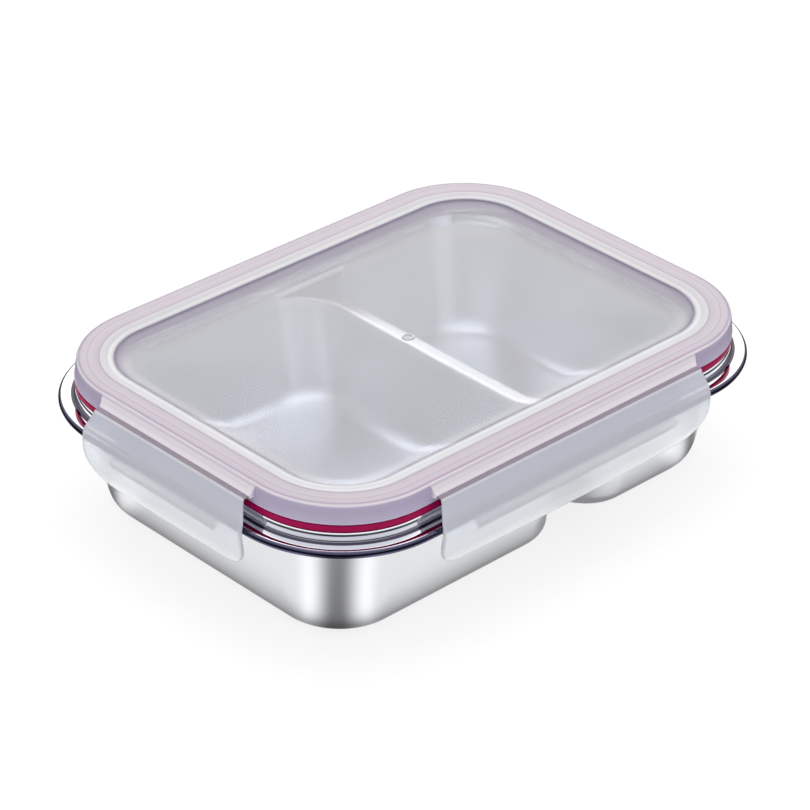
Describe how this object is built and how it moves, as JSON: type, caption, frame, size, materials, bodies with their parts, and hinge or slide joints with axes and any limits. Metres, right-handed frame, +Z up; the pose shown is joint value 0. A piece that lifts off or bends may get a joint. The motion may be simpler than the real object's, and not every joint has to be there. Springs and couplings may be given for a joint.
{
  "type": "lunch box",
  "caption": "Rectangular steel lunch box in two compartments, with a sealed translucent lid held by hinged locking flaps that snap under the tray's rolled lip.",
  "frame": {"origin": "on the table, under the middle of the box's outline", "axes": "+X along the long side towards the small compartment, +Y towards the back long side, +Z up"},
  "size_m": [0.2214, 0.1644, 0.0575],
  "materials": {
    "steel": "satin walls, polished lip and bead",
    "lid_plastic": "translucent moulded polypropylene, faint lavender tint",
    "flap_plastic": "translucent moulded polypropylene",
    "silicone": "soft coloured seal ring"
  },
  "bodies": {
    "tray_body": {"tray": "steel"},
    "lid_body": {"lid": "lid_plastic", "seal_ring": "silicone", "film_hinge_front": "flap_plastic", "film_hinge_back": "flap_plastic", "film_hinge_left": "flap_plastic", "film_hinge_right": "flap_plastic"},
    "flap_front_body": {"flap_front": "flap_plastic", "lock_edge_front": "flap_plastic"},
    "flap_back_body": {"flap_back": "flap_plastic", "lock_edge_back": "flap_plastic"},
    "flap_left_body": {"flap_left": "flap_plastic", "lock_edge_left": "flap_plastic"},
    "flap_right_body": {"flap_right": "flap_plastic", "lock_edge_right": "flap_plastic"}
  },
  "joints": [
    {"name": "lid_lift", "type": "slide", "parent": "tray_body", "child": "lid_body", "axis": [0, 0, 1], "range_m": [0, 0.09], "deforming": ["lock_edge_front", "lock_edge_back", "lock_edge_left", "lock_edge_right"]},
    {"name": "flap_front_hinge", "type": "hinge", "parent": "lid_body", "child": "flap_front_body", "pos_m": [0, -0.0772, 0.0531], "axis": [-1, 0, 0], "range_deg": [0, 110], "deforming": ["film_hinge_front"]},
    {"name": "flap_back_hinge", "type": "hinge", "parent": "lid_body", "child": "flap_back_body", "pos_m": [0, 0.0772, 0.0531], "axis": [1, 0, 0], "range_deg": [0, 110], "deforming": ["film_hinge_back"]},
    {"name": "flap_left_hinge", "type": "hinge", "parent": "lid_body", "child": "flap_left_body", "pos_m": [-0.1057, 0, 0.0531], "axis": [0, 1, 0], "range_deg": [0, 110], "deforming": ["film_hinge_left"]},
    {"name": "flap_right_hinge", "type": "hinge", "parent": "lid_body", "child": "flap_right_body", "pos_m": [0.1057, 0, 0.0531], "axis": [0, -1, 0], "range_deg": [0, 110], "deforming": ["film_hinge_right"]}
  ]
}
